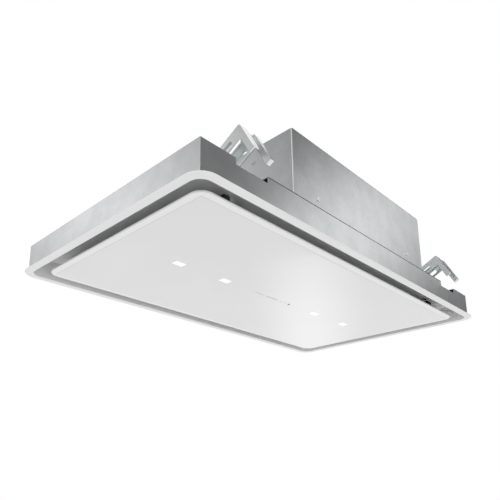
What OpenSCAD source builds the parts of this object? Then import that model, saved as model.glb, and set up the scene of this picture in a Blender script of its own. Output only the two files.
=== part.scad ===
/* [Ceiling frame] */
// Width of the visible frame, left to right
frame_w = 900; // [860:10:960]
// Depth of the visible frame, front to back
frame_d = 500; // [480:10:540]
// Thickness of the frame sheet
frame_t = 3; // [2:0.5:4]
// Outer corner radius of the frame
frame_r = 30; // [24:1:36]
// Visible width of the frame between its outer edge and the suction gap
frame_edge = 14.1; // [12:0.1:16]
// Corner radius of the frame's opening
opening_r = 20; // [14:1:24]
// Height of the skirt that turns up from the frame's inner edge
skirt_h = 30; // [20:1:34]

/* [Casing] */
// Height of the casing walls above the frame
casing_h = 54; // [54:1:70]
// Sheet thickness of the casing
casing_t = 0.9; // [0.7:0.1:1.2]
// Width of the flange that sits on the frame
flange_w = 6; // [5:0.5:8]

/* [Cover panel] */
// Width of the suction gap between frame and cover panel
suction_gap = 23.3; // [18:0.1:28]
// Thickness of the cover glass
glass_t = 4; // [3:0.5:5]
// Corner radius of the cover glass
glass_r = 22; // [16:1:28]
// Width of the ground border of the glass
border_w = 16; // [10:1:20]
// Height of the steel tray behind the glass
tray_h = 7; // [6:0.5:8]
// Length of one lamp window
lamp_w = 24; // [18:1:30]
// Depth of one lamp window
lamp_d = 15; // [10:1:18]

/* [Blower box] */
// Width of the blower box
box_w = 455; // [440:5:470]
// Depth of the blower box
box_d = 450; // [440:2:454]
// Height of the blower box above the deck
box_h = 133; // [128:1:150]
// Distance of the box's centre from the middle of the casing, towards the right
box_shift = 8.2; // [0:0.1:20]

/* [Fan] */
// Outer radius of the fan wheel
wheel_r = 95; // [88:1:97]
// Height of the fan scroll
scroll_h = 88; // [80:1:92]
// Number of blades on the wheel
blade_count = 36; // [24:1:44]
// Outer radius of the round duct spigot
spigot_r = 62; // [50:0.5:64]
// Length of duct that the spigot holds
spigot_l = 40; // [35:1:50]

/* [Clamp brackets] */
// Distance of a clamp bracket's middle from the end of the casing
bracket_inset = 105.1; // [98:0.1:115]
// Width of a clamp bracket between the outsides of its cheeks
bracket_w = 35; // [32:1:38]
// Sheet thickness of a clamp bracket
bracket_t = 2; // [1.5:0.5:2.5]
// Length of the slotted leg
leg_l = 80; // [76:1:84]
// Depth of the slotted leg's cheeks
leg_w = 22.5; // [22:0.5:26]
// Length of the arm that reaches down outside the casing
arm_l = 60; // [54:1:64]
// Width of that arm
arm_w = 10; // [9:0.5:12]
// Diameter of the pivot bolt
bolt_d = 8; // [6:1:8]
// Tilt of the slotted leg as it hangs before it is clamped
bracket_tilt = 28; // [24:1:32]

/* [Hidden] */

// Overrun of a cut past the face that it leaves
over = 1;
// Facets of a large and of a small round surface
big_fn = 96;
small_fn = 32;
// Gap between pieces that slide past each other
play = 0.3;
// Radial clearance of a pin or shaft in its bore
fit = 0.05;

// Frame opening and skirt
frame_bevel = 1.2;
opening_w = frame_w - 2 * frame_edge;
opening_d = frame_d - 2 * frame_edge;
skirt_t = 0.7;
casing_fit = 0.1;
casing_in_w = opening_w + 2 * (skirt_t + casing_fit);
casing_in_d = opening_d + 2 * (skirt_t + casing_fit);
casing_w = casing_in_w + 2 * casing_t;
casing_d = casing_in_d + 2 * casing_t;
deck_z = frame_t + casing_h;
deck_hole_margin = 14;
flange_corner = 10;
flange_r = flange_w + flange_corner;
land_z = frame_t - casing_t;

// Rivets that join the casing flange to the frame
rivet_d = 3;
rivet_head_d = 5;
rivet_head_h = 1;
rivet_depth_share = 0.75;
rivet_depth = rivet_depth_share * land_z;
rivet_count_long = 5;
rivet_count_short = 3;
rivet_line_x = casing_w / 2 + flange_w / 2;
rivet_line_y = casing_d / 2 + flange_w / 2;
rivet_end_share = 0.86;

// Air guide and grease filters
guide_t = 0.8;
guide_rim_gap = 0.5;
filter_w = 214;
filter_d = 262;
filter_h = 9;
filter_gap = 14;
filter_play = 0.5;
filter_rim = 10;
filter_bar = 36;
filter_skin = 0.8;
fold_pitch = 9;
fold_t = 1.2;
tab_w = 24;
tab_l = 6;
tab_inset = 40;
latch_w = 36;
latch_l = 20;
latch_t = 2;
latch_travel = 6;
tongue_w = 16;
tongue_l = 6;
grip_w = 28;
grip_l = 11;
grip_h = 2;

// Blower box
box_t = 1;
box_r = 3;
box_flange = 8;
box_x = -box_shift;
box_top = deck_z + box_h;
lid_rim = 8;
side_screw_x = 160;
side_screw_z = 27;
screw_d = 4;
screw_head_d = 7;
screw_head_h = 2.2;
screw_l = 6;
grommet_y = 139;
grommet_z = 112;
grommet_r = 7;
grommet_lip = 1.5;
grommet_t = 0.8;

// Fan
base_t = 1.2;
base_tab_w = 30;
base_tab_h = 36;
inlet_r = wheel_r - 8;
inlet_round = 6;
inlet_lip_h = 2;
scroll_t = 2;
bell_r = inlet_round + scroll_t;
scroll_start = wheel_r + 10;
scroll_growth = 75;
scroll_end = scroll_start + scroll_growth;
tongue_turn = 50;
duct_w = 110;
outlet_y = 50;
fan_x = box_x;
fan_y = outlet_y - (scroll_end - duct_w / 2);
scroll_z = deck_z + base_t;
scroll_top = scroll_z + scroll_h;
motor_hole_r = 40;
wheel_ring_share = 0.82;
wheel_gap = 8;
wheel_z = scroll_z + scroll_t + wheel_gap;
wheel_h = scroll_h - 2 * scroll_t - 2 * wheel_gap;
wheel_disc_t = 2;
wheel_shroud_w = 7;
blade_t = 1.4;
blade_sweep = 24;
blade_steps = 5;
hub_r = 12;
hub_h = 20;
shaft_r = 4;
bush_r = 7;
bush_h = 4;
bush_bore_r = 2.2;
bush_circle_r = 66;
bush_count = 3;
motor_plate_r = bush_circle_r + bush_r + 3;
motor_plate_t = 2;
motor_z = scroll_top + bush_h + motor_plate_t;
motor_r = 58;
motor_h = 30;
motor_rib_count = 24;
motor_rib_t = 2;
motor_rib_h = 2.5;
bearing_depth = 18;

// Outlet adaptor and its two flaps
adaptor_x = box_x - box_w / 2;
adaptor_t = base_t + scroll_t - box_t;
adaptor_lip = 12;
loft_l = 45;
spigot_y = outlet_y;
spigot_lift = 3.5;
spigot_z = deck_z + spigot_lift + spigot_r;
spigot_zone = 8;
spigot_start = adaptor_x - adaptor_t - loft_l;
spigot_len = spigot_l + spigot_zone;
spigot_end = spigot_start - spigot_len;
bore_r = spigot_r - adaptor_t;
shoulder_w = 3;
shoulder_t = 2;
flap_x = spigot_start - spigot_zone;
flap_t = 1.5;
flap_r = bore_r - 1;
flap_stop_w = 4;
flap_stop_t = 2;
axle_r = 2;
knuckle_r = 4;
knuckle_half = 22;
outlet_z = scroll_z + scroll_h / 2;

// Control module on the deck
module_w = 150;
module_h = 34;
module_r = 6;
module_inset = 17.6;
module_x = (module_w - casing_w) / 2 + module_inset;
module_gap = 58;
spigot_gap = 24;
module_wall = 3;
gland_r = 9;
gland_bore_r = 4.5;
gland_l = 16;

// Cover panel
glass_w = opening_w - 2 * suction_gap;
glass_d = opening_d - 2 * suction_gap;
bevel_h = 0.8;
tray_inset = 14;
tray_t = 0.8;
tray_r = 6;
tray_w = glass_w - 2 * tray_inset;
tray_d = glass_d - 2 * tray_inset;
tray_top = glass_t + tray_h;
lamp_side = 145.6;
lamp_pitch = 119;
lamp_x_outer = glass_w / 2 - lamp_side;
lamp_x_inner = lamp_x_outer - lamp_pitch;
lamp_xs = [lamp_x_outer, lamp_x_inner, -lamp_x_inner, -lamp_x_outer];
lamp_r = 2;
lamp_fit = 0.1;
module_margin = 8;
lamp_module_h = 16;
fin_count = 5;
fin_t = 1.5;
board_w = 130;
board_d = 22;
board_t = 1.6;
chip_size = 8;
chip_h = 1.5;

// Panel hinges: the arm sits on the tray, the strap hangs from the air guide
hinge_side = 78.6;
hinge_x = glass_w / 2 - hinge_side;
hinge_inset = 24.6;
hinge_y = glass_d / 2 - hinge_inset;
hinge_rise = 7;
hinge_z = tray_top + hinge_rise;
hinge_pin_r = 2.5;
hinge_barrel_r = 5;
hinge_barrel_w = 12;
hinge_lug_w = 5;
hinge_tall_w = 10;
hinge_tall_h = 14;
hinge_round = 4;
hinge_nose = 11;
hinge_low_w = 25;
hinge_low_d = 5.5;
hinge_low_h = 5.2;
hinge_foot_l = 34;
hinge_foot_t = 1.5;
hinge_strap_t = 2.5;
hinge_plate_l = 30;
pin_head_r = 4;
pin_head_t = 1.5;
tall_x = (hinge_tall_w + hinge_low_w) / 2 - hinge_tall_w;
lug_x = tall_x - hinge_low_w - pin_head_r;
barrel_x = lug_x + hinge_lug_w + play;

// Height of the air guide, and of its back margin that the hanging panel's edge just clears
panel_clear = 0.9;
margin_step = 5;
margin_start = 8;
margin_y = hinge_y + margin_start;
margin_z = hinge_z + hinge_inset + panel_clear;
guide_z = margin_z - margin_step;
guide_rim_h = guide_z - skirt_h - guide_rim_gap;

// Panel catches
catch_side = 162.6;
catch_x = glass_w / 2 - catch_side;
catch_inset = 26.6;
catch_y = catch_inset - glass_d / 2;
catch_w = 34;
catch_d = 22;
catch_gap = 8;
catch_drop = guide_z - tray_top - catch_gap;
catch_slot = 4;
catch_roof = 3;
striker_w = 16;
striker_t = 2;
striker_foot = 14;
striker_h = 16;

// Clamp brackets
bracket_x = casing_w / 2 - bracket_inset;
apex_inset = 11;
apex_rise = 71;
apex_y = casing_d / 2 - apex_inset;
apex_z = deck_z + apex_rise;
bolt_u = 62;
bolt_offset = 2.25;
bolt_w = leg_w / 2 + bolt_offset;
slot_play = 0.3;
slot_start = 25;
slot_end = 72;
web_slot_w = 12;
web_slot_start = 18;
web_slot_end = 66;
bracket_r = 4;
inner_flange = 15;
inner_short = 6.5;
outer_flange = 6;
arm_extra = 6;
flange_drop = 4;
notch_w = 69;
notch_shift = 2;
notch_h = 11;
notch_d = 26;
post_w = bracket_w - 2 * bracket_t - 2 * play;
post_r = 10.5;
ear_t = 2.5;
post_wing = 15;
post_base_w = post_w + 2 * post_wing;
post_base_d = 30;
post_base_t = 2;
post_screw_r = 2.5;
post_screw_head_r = 4.5;
post_screw_head_h = 3;
post_screw_l = 8;
head_r = 7.5;
head_h = 5.3;
nut_h = 6.5;
washer_r = 8.5;
washer_t = 1.5;
bolt_tail = 3;

// Place of the pivot bolt, worked out from the tilted leg
pivot_y = apex_y - bolt_u * cos(bracket_tilt) + bolt_w * sin(bracket_tilt);
pivot_z = apex_z - bolt_u * sin(bracket_tilt) - bolt_w * cos(bracket_tilt);

// The control module fills the room between the front bracket and the spigot
module_front = module_gap - pivot_y;
module_back = spigot_y - spigot_r - spigot_gap;
module_d = module_back - module_front;
module_y = (module_front + module_back) / 2;

// A box centred on the axis and standing on its base
module block(w, d, h) {
    translate([-w / 2, -d / 2, 0]) cube([w, d, h]);
}

// A rectangle with round corners
module round_rect(w, d, r) {
    square([w - 2 * r, d], center = true);
    square([w, d - 2 * r], center = true);
    for (sx = [-1, 1], sy = [-1, 1])
        translate([sx * (w / 2 - r), sy * (d / 2 - r)]) circle(r = r, $fn = small_fn);
}

// A plate with round corners, standing on its base
module round_plate(w, d, r, h) {
    linear_extrude(h) round_rect(w, d, r);
}

// A cylinder along +X from its place
module rod_x(r, l, fn = small_fn) {
    rotate([0, 90, 0]) cylinder(r = r, h = l, $fn = fn);
}

// A flat slot with round ends, from u0 to u1 along the first axis
module slot_shape(u0, u1, w) {
    translate([u0 + w / 2, -w / 2]) square([u1 - u0 - w, w]);
    for (u = [u0 + w / 2, u1 - w / 2])
        translate([u, 0]) circle(d = w, $fn = small_fn);
}

// Places of the rivets round the flange
function along(n, half) = [for (i = [0:n - 1]) rivet_end_share * half * (2 * i / (n - 1) - 1)];
rivet_places = concat(
    [for (x = along(rivet_count_long, rivet_line_x), s = [-1, 1]) [x, s * rivet_line_y]],
    [for (y = along(rivet_count_short, rivet_line_y), s = [-1, 1]) [s * rivet_line_x, y]]);

// Casing: four walls, the deck above them and the flange below
module casing() {
    color([0.72, 0.73, 0.74]) difference() {
        union() {
            translate([0, 0, land_z]) block(casing_w, casing_d, casing_h + casing_t);
            translate([0, 0, land_z])
                round_plate(casing_w + 2 * flange_w, casing_d + 2 * flange_w, flange_r, casing_t);
        }
        translate([0, 0, land_z - over])
            block(casing_in_w, casing_in_d, casing_h + over);
        translate([box_x, 0, deck_z - casing_t - over])
            block(box_w - 2 * deck_hole_margin, box_d - 2 * deck_hole_margin,
                casing_t + 2 * over);
        for (sx = [-1, 1], sy = [-1, 1])
            translate([sx * (bracket_x + notch_shift),
                sy * (casing_d / 2 + over - (notch_d + over) / 2), deck_z - notch_h])
                block(notch_w, notch_d + over, notch_h + over);
        for (p = rivet_places)
            translate([p[0], p[1], land_z - over])
                cylinder(r = rivet_d / 2 + fit, h = casing_t + 2 * over, $fn = small_fn);
        post_screw_holes();
    }
}

// Frame: a bevelled ring round the ceiling cut-out, with a rebate for the casing's flange
// and a skirt inside
module ceiling_frame() {
    color([0.93, 0.93, 0.93]) {
        difference() {
            hull() {
                round_plate(frame_w - 2 * frame_bevel, frame_d - 2 * frame_bevel,
                    frame_r - frame_bevel, frame_t);
                translate([0, 0, frame_bevel])
                    round_plate(frame_w, frame_d, frame_r, frame_t - frame_bevel);
            }
            translate([0, 0, -over])
                round_plate(opening_w, opening_d, opening_r, frame_t + 2 * over);
            hull() {
                translate([0, 0, -over])
                    round_plate(opening_w + frame_bevel, opening_d + frame_bevel,
                        opening_r + frame_bevel / 2, over);
                round_plate(opening_w, opening_d, opening_r, frame_bevel / 2);
            }
            translate([0, 0, land_z])
                round_plate(casing_w + 2 * (flange_w + play), casing_d + 2 * (flange_w + play),
                    flange_r + play, casing_t + over);
            for (p = rivet_places)
                translate([p[0], p[1], land_z - rivet_depth])
                    cylinder(r = rivet_d / 2 + fit, h = rivet_depth + over, $fn = small_fn);
        }
        translate([0, 0, frame_bevel]) difference() {
            round_plate(opening_w + 2 * skirt_t, opening_d + 2 * skirt_t,
                opening_r + skirt_t, skirt_h - frame_bevel);
            translate([0, 0, -over])
                round_plate(opening_w, opening_d, opening_r, skirt_h + over);
        }
    }
}

// Blind rivets through the casing flange into the frame
module frame_rivets() {
    color([0.6, 0.61, 0.62]) for (p = rivet_places) translate([p[0], p[1], 0]) {
        translate([0, 0, land_z - rivet_depth])
            cylinder(r = rivet_d / 2, h = rivet_depth + casing_t, $fn = small_fn);
        translate([0, 0, frame_t])
            cylinder(r = rivet_head_d / 2, h = rivet_head_h, $fn = small_fn);
    }
}

// Air guide: the plate seen through the suction gap, with a raised back margin and two
// filter openings
module air_guide() {
    margin_d = casing_in_d / 2 - margin_y;
    color([0.8, 0.81, 0.81]) difference() {
        union() {
            translate([0, 0, guide_z - guide_rim_h])
                block(casing_in_w, casing_in_d, guide_rim_h + guide_t);
            translate([0, margin_y + margin_d / 2, guide_z])
                block(casing_in_w, margin_d, margin_step + guide_t);
        }
        translate([0, 0, guide_z - guide_rim_h - over])
            block(casing_in_w - 2 * guide_t, casing_in_d - 2 * guide_t, guide_rim_h + over);
        translate([0, margin_y + margin_d / 2, guide_z - over])
            block(casing_in_w - 2 * guide_t, margin_d - 2 * guide_t, margin_step + over);
        for (s = [-1, 1])
            translate([filter_x(s), 0, guide_z - over])
                block(filter_w + 2 * filter_play, filter_d + 2 * filter_play, guide_t + 2 * over);
    }
}

function filter_x(side) = box_x + side * (filter_w + filter_gap) / 2;

// One folded layer of the filter, as a zigzag strip across its width
module folded_core(w, h) {
    folds = 2 * floor(w / fold_pitch / 2);
    step = w / folds;
    rise = h - fold_t;
    lower = [for (i = [0:folds]) [-w / 2 + i * step, i % 2 == 0 ? 0 : rise]];
    upper = [for (i = [folds:-1:0]) [-w / 2 + i * step, (i % 2 == 0 ? 0 : rise) + fold_t]];
    polygon(concat(lower, upper));
}

// Grease filter: channel frame, folded mesh core and a front bar that houses the latch
module grease_filter(side) {
    core_w = filter_w - 2 * filter_rim;
    core_d = filter_d - filter_rim - filter_bar;
    front = -filter_d / 2;
    translate([filter_x(side), 0, guide_z]) color([0.78, 0.79, 0.8]) {
        difference() {
            block(filter_w, filter_d, filter_h);
            translate([0, (filter_bar - filter_rim) / 2, -over])
                block(core_w, core_d, filter_h + 2 * over);
            latch_pocket(front);
        }
        translate([0, front + filter_bar + core_d, filter_skin])
            rotate([90, 0, 0]) linear_extrude(core_d) folded_core(core_w, filter_h - 2 * filter_skin);
        for (sx = [-1, 1])
            translate([sx * (filter_w / 2 - tab_inset), filter_d / 2 + tab_l / 2, guide_t])
                block(tab_w, tab_l, filter_h / 3);
    }
}

// The hollow that the latch slides in: plate way, tongue slot and finger window
module latch_pocket(front) {
    way_z = guide_t + play;
    translate([0, front + (tongue_l + latch_l + latch_travel) / 2, way_z - play])
        block(latch_w + 2 * play, latch_l + latch_travel + 2 * play, latch_t + 2 * play);
    translate([0, front + (tongue_l - over) / 2, way_z - play])
        block(tongue_w + 2 * play, tongue_l + over, latch_t + 2 * play);
    translate([0, front + (tongue_l + latch_l + latch_travel) / 2, -over])
        block(grip_w + 2 * play, grip_l + latch_travel + 2 * play, guide_t + 2 * over);
}

// Latch: a sliding plate with a tongue that rests on the air guide and a finger grip below
module filter_latch(side) {
    front = -filter_d / 2;
    centre = front + tongue_l / 2 + latch_l / 2;
    translate([filter_x(side), 0, guide_z]) color([0.2, 0.2, 0.21]) {
        translate([0, centre, guide_t + play]) block(latch_w, latch_l, latch_t);
        translate([0, front, guide_t + play])
            block(tongue_w, 2 * tongue_l, latch_t);
        translate([0, centre, -grip_h]) block(grip_w, grip_l, grip_h + guide_t + play);
    }
}

// Blower box: folded sheet walls with a flange that stands on the deck
module blower_box() {
    color([0.7, 0.71, 0.72]) translate([box_x, 0, deck_z]) difference() {
        union() {
            round_plate(box_w, box_d, box_r, box_h - box_t);
            round_plate(box_w + 2 * box_flange, box_d + 2 * box_flange, box_r, box_t);
        }
        translate([0, 0, -over])
            round_plate(box_w - 2 * box_t, box_d - 2 * box_t, box_r - box_t, box_h + 2 * over);
        translate([-box_w / 2 - over, outlet_y - duct_w / 2 - scroll_t - play,
            outlet_z - deck_z - scroll_h / 2 - play])
            cube([box_t + 2 * over, duct_w + 2 * scroll_t + 2 * play, scroll_h + 2 * play]);
        for (sx = [-1, 1])
            translate([sx * side_screw_x, -box_d, side_screw_z]) rotate([-90, 0, 0])
                cylinder(r = screw_d / 2 + fit, h = 2 * box_d, $fn = small_fn);
        translate([box_w / 2 - box_t - over, grommet_y, grommet_z])
            rod_x(grommet_r, box_t + 2 * over);
    }
}

// Lid of the blower box, with a rim that drops inside the walls
module box_lid() {
    color([0.7, 0.71, 0.72]) translate([box_x, 0, box_top - box_t]) {
        round_plate(box_w, box_d, box_r, box_t);
        translate([0, 0, -lid_rim]) difference() {
            round_plate(box_w - 2 * box_t - play, box_d - 2 * box_t - play, box_r - box_t, lid_rim);
            translate([0, 0, -over])
                round_plate(box_w - 4 * box_t - play, box_d - 4 * box_t - play, box_r - box_t,
                    lid_rim + over);
        }
    }
}

// Self-tapping screws through the box walls into the tabs of the fan base
module box_screws() {
    color([0.55, 0.56, 0.57]) for (sx = [-1, 1], sy = [-1, 1])
        translate([box_x + sx * side_screw_x, sy * box_d / 2, deck_z + side_screw_z])
            rotate([-90 * sy, 0, 0]) difference() {
                union() {
                    cylinder(r = screw_head_d / 2, h = screw_head_h, $fn = small_fn);
                    translate([0, 0, -screw_l]) cylinder(r = screw_d / 2, h = screw_l, $fn = small_fn);
                }
                for (a = [0, 90])
                    rotate([0, 0, a]) translate([0, 0, screw_head_h / 2])
                        block(screw_d, screw_head_h / 4, screw_head_h);
            }
}

// Blind grommet in the cable hole of the box's left side
module box_grommet() {
    color([0.6, 0.61, 0.62]) translate([box_x + box_w / 2, grommet_y, deck_z + grommet_z]) {
        rod_x(grommet_r + grommet_lip, grommet_t);
        translate([-box_t, 0, 0]) rod_x(grommet_r - fit, box_t);
        translate([-box_t - grommet_t, 0, 0]) rod_x(grommet_r + grommet_lip, grommet_t);
    }
}

// Fan base: plate over the deck opening, with the intake hole and four screw tabs
module fan_base() {
    base_w = box_w - 2 * box_t - 2 * play;
    base_d = box_d - 2 * box_t;
    color([0.68, 0.69, 0.7]) difference() {
        union() {
            translate([box_x, 0, deck_z]) block(base_w, base_d, base_t);
            for (sx = [-1, 1], sy = [-1, 1])
                translate([box_x + sx * side_screw_x, sy * (base_d - base_t) / 2, deck_z])
                    block(base_tab_w, base_t, base_tab_h);
        }
        translate([fan_x, fan_y, deck_z - over])
            cylinder(r = inlet_r + inlet_round, h = base_t + 2 * over, $fn = big_fn);
        for (sx = [-1, 1])
            translate([box_x + sx * side_screw_x, -box_d, deck_z + side_screw_z])
                rotate([-90, 0, 0])
                    cylinder(r = screw_d / 2 + fit, h = 2 * box_d, $fn = small_fn);
    }
}

// Bell-mouthed inlet ring that seats in the fan base and leads air into the wheel
module inlet_ring() {
    color([0.15, 0.15, 0.16]) translate([fan_x, fan_y, deck_z])
        rotate_extrude($fn = big_fn) {
            intersection() {
                translate([inlet_r - scroll_t, 0]) square([bell_r - fit, bell_r]);
                translate([inlet_r + inlet_round, bell_r]) difference() {
                    circle(r = bell_r, $fn = big_fn);
                    circle(r = inlet_round, $fn = big_fn);
                }
            }
            translate([inlet_r - scroll_t, bell_r]) square([scroll_t, inlet_lip_h]);
        }
}

// Outline of the fan scroll: a growing spiral that runs out into a straight duct
function spiral(grow) = [for (a = [tongue_turn:10:360])
    let (r = scroll_start + scroll_growth * a / 360 + grow)
    [r * cos(90 + a), r * sin(90 + a)]];
module scroll_outline(grow) {
    run = fan_x - adaptor_x;
    inner_y = scroll_end - duct_w - grow;
    polygon(concat(spiral(grow), [[-run, scroll_end + grow], [-run, inner_y]]));
}

// Fan scroll: spiral housing with an intake below, a motor hole above and a duct to the side
module fan_scroll() {
    color([0.22, 0.22, 0.23]) translate([fan_x, fan_y, scroll_z]) difference() {
        linear_extrude(scroll_h) scroll_outline(scroll_t);
        translate([0, 0, scroll_t]) linear_extrude(scroll_h - 2 * scroll_t) scroll_outline(0);
        translate([adaptor_x - fan_x - over, scroll_end - duct_w, scroll_t])
            cube([2 * over, duct_w, scroll_h - 2 * scroll_t]);
        translate([0, 0, -over])
            cylinder(r = inlet_r + inlet_round, h = scroll_t + 2 * over, $fn = big_fn);
        translate([0, 0, scroll_h - scroll_t - over])
            cylinder(r = motor_hole_r, h = scroll_t + 2 * over, $fn = big_fn);
    }
}

// One forward-curved blade, swept along an arc between two radii
module blade_shape() {
    r0 = wheel_ring_share * wheel_r;
    r1 = wheel_r - over;
    lead = [for (i = [0:blade_steps]) let (s = i / blade_steps, r = r0 + (r1 - r0) * s,
        a = blade_sweep * s * s / 2) [r * cos(a), r * sin(a)]];
    trail = [for (i = [blade_steps:-1:0]) let (s = i / blade_steps, r = r0 + (r1 - r0) * s,
        a = blade_sweep * s * s / 2 + blade_t * 180 / (PI * r)) [r * cos(a), r * sin(a)]];
    polygon(concat(lead, trail));
}

// Fan wheel: back disc, hub, ring of forward-curved blades and the shroud that ties them
module fan_wheel() {
    color([0.3, 0.3, 0.32]) translate([fan_x, fan_y, wheel_z]) {
        for (i = [0:blade_count - 1])
            rotate([0, 0, 360 * i / blade_count]) linear_extrude(wheel_h) blade_shape();
        difference() {
            union() {
                translate([0, 0, wheel_h - wheel_disc_t])
                    cylinder(r = wheel_r, h = wheel_disc_t, $fn = big_fn);
                translate([0, 0, wheel_h - hub_h]) cylinder(r = hub_r, h = hub_h, $fn = small_fn);
            }
            translate([0, 0, wheel_h - hub_h - over])
                cylinder(r = shaft_r, h = hub_h + 2 * over, $fn = small_fn);
        }
        difference() {
            cylinder(r = wheel_r, h = wheel_disc_t, $fn = big_fn);
            translate([0, 0, -over])
                cylinder(r = wheel_r - wheel_shroud_w, h = wheel_disc_t + 2 * over, $fn = big_fn);
        }
    }
}

// Shaft from the motor bearing down to the wheel's hub
module fan_shaft() {
    shaft_z = wheel_z + wheel_h - hub_h;
    color([0.75, 0.76, 0.78]) translate([fan_x, fan_y, shaft_z])
        cylinder(r = shaft_r, h = motor_z + bearing_depth - play - shaft_z, $fn = small_fn);
}

// Flat motor with cooling ribs round its case and the bearing bore below
module fan_motor() {
    color([0.5, 0.51, 0.53]) translate([fan_x, fan_y, motor_z]) difference() {
        union() {
            cylinder(r = motor_r, h = motor_h, $fn = big_fn);
            for (i = [0:motor_rib_count - 1])
                rotate([0, 0, 360 * i / motor_rib_count])
                    translate([motor_r - over, -motor_rib_t / 2, 0])
                        cube([motor_rib_h + over, motor_rib_t, motor_h]);
        }
        translate([0, 0, -over])
            cylinder(r = shaft_r + fit, h = bearing_depth + over, $fn = small_fn);
    }
}

// Round plate that carries the motor on its bushes
module motor_bracket() {
    color([0.68, 0.69, 0.7]) translate([fan_x, fan_y, scroll_top + bush_h]) difference() {
        cylinder(r = motor_plate_r, h = motor_plate_t, $fn = big_fn);
        translate([0, 0, -over])
            cylinder(r = hub_r, h = motor_plate_t + 2 * over, $fn = small_fn);
        for (i = [0:bush_count - 1])
            rotate([0, 0, 360 * i / bush_count]) translate([bush_circle_r, 0, -over])
                cylinder(r = bush_bore_r, h = motor_plate_t + 2 * over, $fn = small_fn);
    }
}

// Rubber bushes between the scroll and the motor plate
module motor_bushes() {
    color([0.12, 0.12, 0.12]) translate([fan_x, fan_y, scroll_top])
        for (i = [0:bush_count - 1])
            rotate([0, 0, 360 * i / bush_count]) translate([bush_circle_r, 0, 0]) difference() {
                cylinder(r = bush_r, h = bush_h, $fn = small_fn);
                translate([0, 0, -over])
                    cylinder(r = bush_bore_r, h = bush_h + 2 * over, $fn = small_fn);
            }
}

// The rectangle that the adaptor's loft starts from, as a thin slab across the duct
module duct_slab(grow, t) {
    w = duct_w + 2 * grow;
    h = scroll_h - 2 * scroll_t + 2 * grow;
    translate([0, outlet_y - w / 2, outlet_z - h / 2]) cube([t, w, h]);
}

// Outlet adaptor: wall plate, loft from the flat duct to a circle, shoulder and round spigot
module outlet_adaptor() {
    color([0.16, 0.16, 0.17]) {
        difference() {
            translate([adaptor_x - adaptor_t, outlet_y - duct_w / 2 - adaptor_lip,
                deck_z + box_t])
                cube([adaptor_t, duct_w + 2 * adaptor_lip, scroll_h + adaptor_lip]);
            translate([adaptor_x - adaptor_t - over, 0, 0]) duct_slab(0, adaptor_t + 2 * over);
        }
        difference() {
            hull() {
                translate([adaptor_x - 2 * adaptor_t, 0, 0]) duct_slab(adaptor_t, adaptor_t);
                translate([spigot_start - over, spigot_y, spigot_z]) rod_x(spigot_r, over, big_fn);
            }
            hull() {
                translate([adaptor_x - adaptor_t, 0, 0]) duct_slab(0, over);
                translate([spigot_start - 2 * over, spigot_y, spigot_z])
                    rod_x(bore_r, 2 * over, big_fn);
            }
        }
        translate([spigot_start - shoulder_t, spigot_y, spigot_z]) difference() {
            rod_x(spigot_r + shoulder_w, shoulder_t, big_fn);
            translate([-over, 0, 0]) rod_x(bore_r - shoulder_w, shoulder_t + 2 * over, big_fn);
        }
        translate([spigot_end, spigot_y, spigot_z]) difference() {
            rod_x(spigot_r, spigot_len - shoulder_t / 2, big_fn);
            translate([-over, 0, 0]) rod_x(bore_r, spigot_len + 2 * over, big_fn);
            translate([flap_x - spigot_end, 0, -spigot_r - over])
                cylinder(r = axle_r + fit, h = 2 * (spigot_r + over), $fn = small_fn);
        }
        translate([flap_x + flap_t / 2 + play, spigot_y, spigot_z]) difference() {
            rod_x(bore_r, flap_stop_t, big_fn);
            translate([-over, 0, 0])
                rod_x(bore_r - flap_stop_w, flap_stop_t + 2 * over, big_fn);
            translate([-flap_t / 2 - play, 0, -spigot_r])
                cylinder(r = axle_r + fit, h = 2 * spigot_r, $fn = small_fn);
        }
    }
}

// Upright axle of the two flaps
module flap_axle() {
    color([0.75, 0.76, 0.78]) translate([flap_x, spigot_y, spigot_z - spigot_r + play])
        cylinder(r = axle_r, h = 2 * (spigot_r - play), $fn = small_fn);
}

// One half-round flap: its plate, and knuckles that share the axle with the other flap
module flap(side) {
    half = flap_r - over;
    mid = [[-knuckle_half + play, 2 * knuckle_half - 2 * play]];
    ends = [[-half + knuckle_r, half - knuckle_r - knuckle_half],
        [knuckle_half, half - knuckle_r - knuckle_half]];
    spans = side > 0 ? ends : mid;
    color([0.24, 0.24, 0.25]) translate([flap_x, spigot_y, spigot_z])
        difference() {
            union() {
                intersection() {
                    translate([-flap_t / 2, 0, 0]) rod_x(flap_r, flap_t, big_fn);
                    translate([-flap_t, side > 0 ? knuckle_r + play : -flap_r - knuckle_r - play,
                        -flap_r]) cube([2 * flap_t, flap_r, 2 * flap_r]);
                }
                for (s = spans) translate([0, 0, s[0]]) {
                    cylinder(r = knuckle_r, h = s[1], $fn = small_fn);
                    translate([-flap_t / 2, side > 0 ? 0 : -2 * knuckle_r, 0])
                        cube([flap_t, 2 * knuckle_r, s[1]]);
                }
            }
            translate([0, 0, -flap_r - over])
                cylinder(r = axle_r + fit, h = 2 * (flap_r + over), $fn = small_fn);
        }
}

// Control module: plastic case on the deck with a lid line and screw bosses
module control_module() {
    color([0.2, 0.2, 0.21]) translate([module_x, module_y, deck_z]) {
        round_plate(module_w, module_d, module_r, module_h - module_wall);
        translate([0, 0, module_h - module_wall])
            round_plate(module_w - 2 * play, module_d - 2 * play, module_r, module_wall);
        for (sx = [-1, 1], sy = [-1, 1])
            translate([sx * module_w / 2, sy * (module_d / 2 - 2 * module_r), 0])
                cylinder(r = module_r, h = module_wall, $fn = small_fn);
    }
}

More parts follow.
